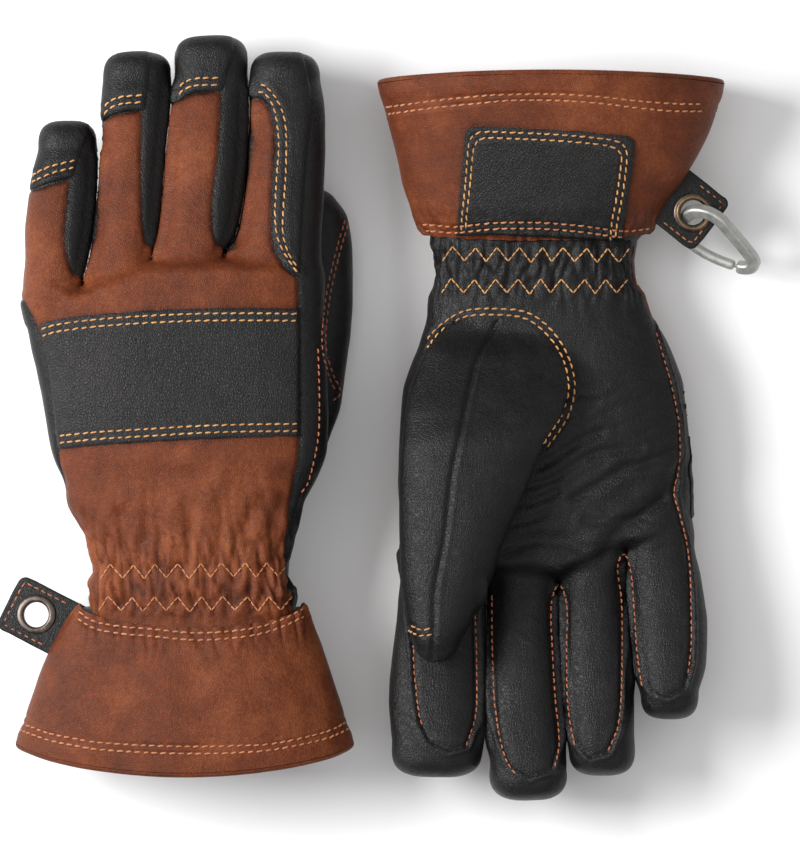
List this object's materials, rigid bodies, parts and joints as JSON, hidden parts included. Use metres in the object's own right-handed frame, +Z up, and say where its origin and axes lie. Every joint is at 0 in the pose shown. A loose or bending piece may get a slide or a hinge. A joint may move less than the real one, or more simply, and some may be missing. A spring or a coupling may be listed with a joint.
{
  "type": "pair of leather ski gauntlet gloves",
  "caption": "Pair of five-finger leather ski gloves with flared gauntlet cuffs, gathered elastic wrists, hang tabs with eyelets and a small gated carabiner.",
  "frame": {"origin": "the middle of the pair's underside, between the two gloves, which lie side by side", "axes": "+X from the left glove to the right glove, +Y from the left glove's cuff to its fingertips, +Z up out of the floor and out of the left glove's back"},
  "size_m": [0.3038, 0.306, 0.0684],
  "materials": {
    "tan_leather": "waxed full-grain leather, satin, orange-brown with darker creases",
    "black_leather": "fine-grained black goatskin, soft satin",
    "strap_leather": "pebbled black leather, satin",
    "elastic_webbing": "woven elastic, matt",
    "lining_fleece": "brushed fleece, matt",
    "eyelet_metal": "gunmetal-plated brass, satin",
    "carabiner_metal": "die-cast aluminium, satin nickel tone",
    "spring_steel": "bright drawn wire"
  },
  "bodies": {
    "left_gauntlet": {"left_gauntlet_back": "tan_leather", "left_gauntlet_palm": "tan_leather", "left_gauntlet_patch": "strap_leather", "left_wrist_gather_back": "tan_leather", "left_wrist_gather_palm": "black_leather", "left_wrist_elastic": "elastic_webbing"},
    "left_hand": {"left_back_panel": "tan_leather", "left_palm_panel": "black_leather", "left_fourchette_index_middle": "black_leather", "left_fourchette_middle_ring": "black_leather", "left_fourchette_ring_pinky": "black_leather", "left_index_side_panel": "black_leather", "left_pinky_side_panel": "black_leather", "left_knuckle_strap": "strap_leather", "left_hand_lining": "lining_fleece"},
    "left_thumb": {"left_thumb_back": "black_leather", "left_thumb_front": "black_leather"},
    "left_tab": {"left_hang_tab": "strap_leather", "left_eyelet": "eyelet_metal"},
    "left_index": {"left_index_tip_cap": "black_leather", "left_index_tip_front": "black_leather"},
    "left_middle": {"left_middle_tip_cap": "black_leather", "left_middle_tip_front": "black_leather"},
    "left_ring": {"left_ring_tip_cap": "black_leather", "left_ring_tip_front": "black_leather"},
    "left_pinky": {"left_pinky_tip_cap": "black_leather", "left_pinky_tip_front": "black_leather"},
    "right_gauntlet": {"right_gauntlet_back": "tan_leather", "right_gauntlet_palm": "tan_leather", "right_gauntlet_patch": "strap_leather", "right_wrist_gather_back": "tan_leather", "right_wrist_gather_palm": "black_leather", "right_wrist_elastic": "elastic_webbing"},
    "right_hand": {"right_back_panel": "tan_leather", "right_palm_panel": "black_leather", "right_fourchette_index_middle": "black_leather", "right_fourchette_middle_ring": "black_leather", "right_fourchette_ring_pinky": "black_leather", "right_index_side_panel": "black_leather", "right_pinky_side_panel": "black_leather", "right_knuckle_strap": "strap_leather", "right_hand_lining": "lining_fleece"},
    "right_thumb": {"right_thumb_back": "black_leather", "right_thumb_front": "black_leather"},
    "right_tab": {"right_hang_tab": "strap_leather", "right_eyelet": "eyelet_metal"},
    "right_index": {"right_index_tip_cap": "black_leather", "right_index_tip_front": "black_leather"},
    "right_middle": {"right_middle_tip_cap": "black_leather", "right_middle_tip_front": "black_leather"},
    "right_ring": {"right_ring_tip_cap": "black_leather", "right_ring_tip_front": "black_leather"},
    "right_pinky": {"right_pinky_tip_cap": "black_leather", "right_pinky_tip_front": "black_leather"},
    "carabiner": {"carabiner_body": "carabiner_metal"},
    "carabiner_gate": {"carabiner_gate": "carabiner_metal", "carabiner_gate_pin": "spring_steel", "carabiner_gate_spring": "spring_steel"}
  },
  "joints": [
    {"name": "left_wrist_bend", "type": "hinge", "parent": "left_gauntlet", "child": "left_hand", "pos_m": [-0.07278, -0.0676, 0.0444], "axis": [-1, 0, 0], "range_deg": [-20, 20], "deforming": ["left_wrist_gather_back", "left_wrist_gather_palm", "left_wrist_elastic"]},
    {"name": "left_thumb_spread", "type": "hinge", "parent": "left_hand", "child": "left_thumb", "pos_m": [-0.03548, -0.0186, 0.0164], "axis": [0, 0, -1], "range_deg": [0, 20]},
    {"name": "left_index_bend", "type": "hinge", "parent": "left_hand", "child": "left_index", "pos_m": [-0.03708, 0.1034, 0.03975], "axis": [-1, 0, 0], "range_deg": [0, 60]},
    {"name": "left_middle_bend", "type": "hinge", "parent": "left_hand", "child": "left_middle", "pos_m": [-0.06904, 0.1094, 0.03934], "axis": [-1, 0, 0], "range_deg": [0, 60]},
    {"name": "left_ring_bend", "type": "hinge", "parent": "left_hand", "child": "left_ring", "pos_m": [-0.09935, 0.1034, 0.03972], "axis": [-1, 0, 0], "range_deg": [0, 60]},
    {"name": "left_pinky_bend", "type": "hinge", "parent": "left_hand", "child": "left_pinky", "pos_m": [-0.12733, 0.0858, 0.04019], "axis": [-1, 0, 0], "range_deg": [0, 60]},
    {"name": "left_tab_flex", "type": "hinge", "parent": "left_gauntlet", "child": "left_tab", "pos_m": [-0.12796, -0.08295, 0.03982], "axis": [-0.45, -0.893, 0], "range_deg": [-20, 20]},
    {"name": "right_wrist_bend", "type": "hinge", "parent": "right_gauntlet", "child": "right_hand", "pos_m": [0.06522, 0.0604, 0.024], "axis": [-1, 0, 0], "range_deg": [-20, 20], "deforming": ["right_wrist_gather_back", "right_wrist_gather_palm", "right_wrist_elastic"]},
    {"name": "right_thumb_spread", "type": "hinge", "parent": "right_hand", "child": "right_thumb", "pos_m": [0.0422, 0.0114, 0.052], "axis": [0, 0, -1], "range_deg": [0, 20]},
    {"name": "right_index_bend", "type": "hinge", "parent": "right_hand", "child": "right_index", "pos_m": [0.0231, -0.103, 0.02848], "axis": [-1, 0, 0], "range_deg": [0, 60]},
    {"name": "right_middle_bend", "type": "hinge", "parent": "right_hand", "child": "right_middle", "pos_m": [0.05792, -0.1098, 0.02877], "axis": [-1, 0, 0], "range_deg": [0, 60]},
    {"name": "right_ring_bend", "type": "hinge", "parent": "right_hand", "child": "right_ring", "pos_m": [0.08677, -0.0998, 0.02831], "axis": [-1, 0, 0], "range_deg": [0, 60]},
    {"name": "right_pinky_bend", "type": "hinge", "parent": "right_hand", "child": "right_pinky", "pos_m": [0.11606, -0.087, 0.0286], "axis": [-1, 0, 0], "range_deg": [0, 60]},
    {"name": "right_tab_flex", "type": "hinge", "parent": "right_gauntlet", "child": "right_tab", "pos_m": [0.11882, 0.08752, 0.02948], "axis": [0.613, 0.79, 0], "range_deg": [-20, 20]},
    {"name": "pair_separation", "type": "slide", "parent": "left_gauntlet", "child": "right_gauntlet", "axis": [1, 0, 0], "range_m": [0, 0.1]},
    {"name": "carabiner_swing", "type": "hinge", "parent": "right_tab", "child": "carabiner", "pos_m": [0.12542, 0.0824, 0.0286], "axis": [0.0826, -0.0641, 0.9945], "range_deg": [-30, 0]},
    {"name": "carabiner_gate_open", "type": "hinge", "parent": "carabiner", "child": "carabiner_gate", "pos_m": [0.14109, 0.06184, 0.01632], "axis": [0.3366, 0.6674, -0.6643], "range_deg": [0, 22], "stiffness_Nm_per_rad": 0.01}
  ]
}
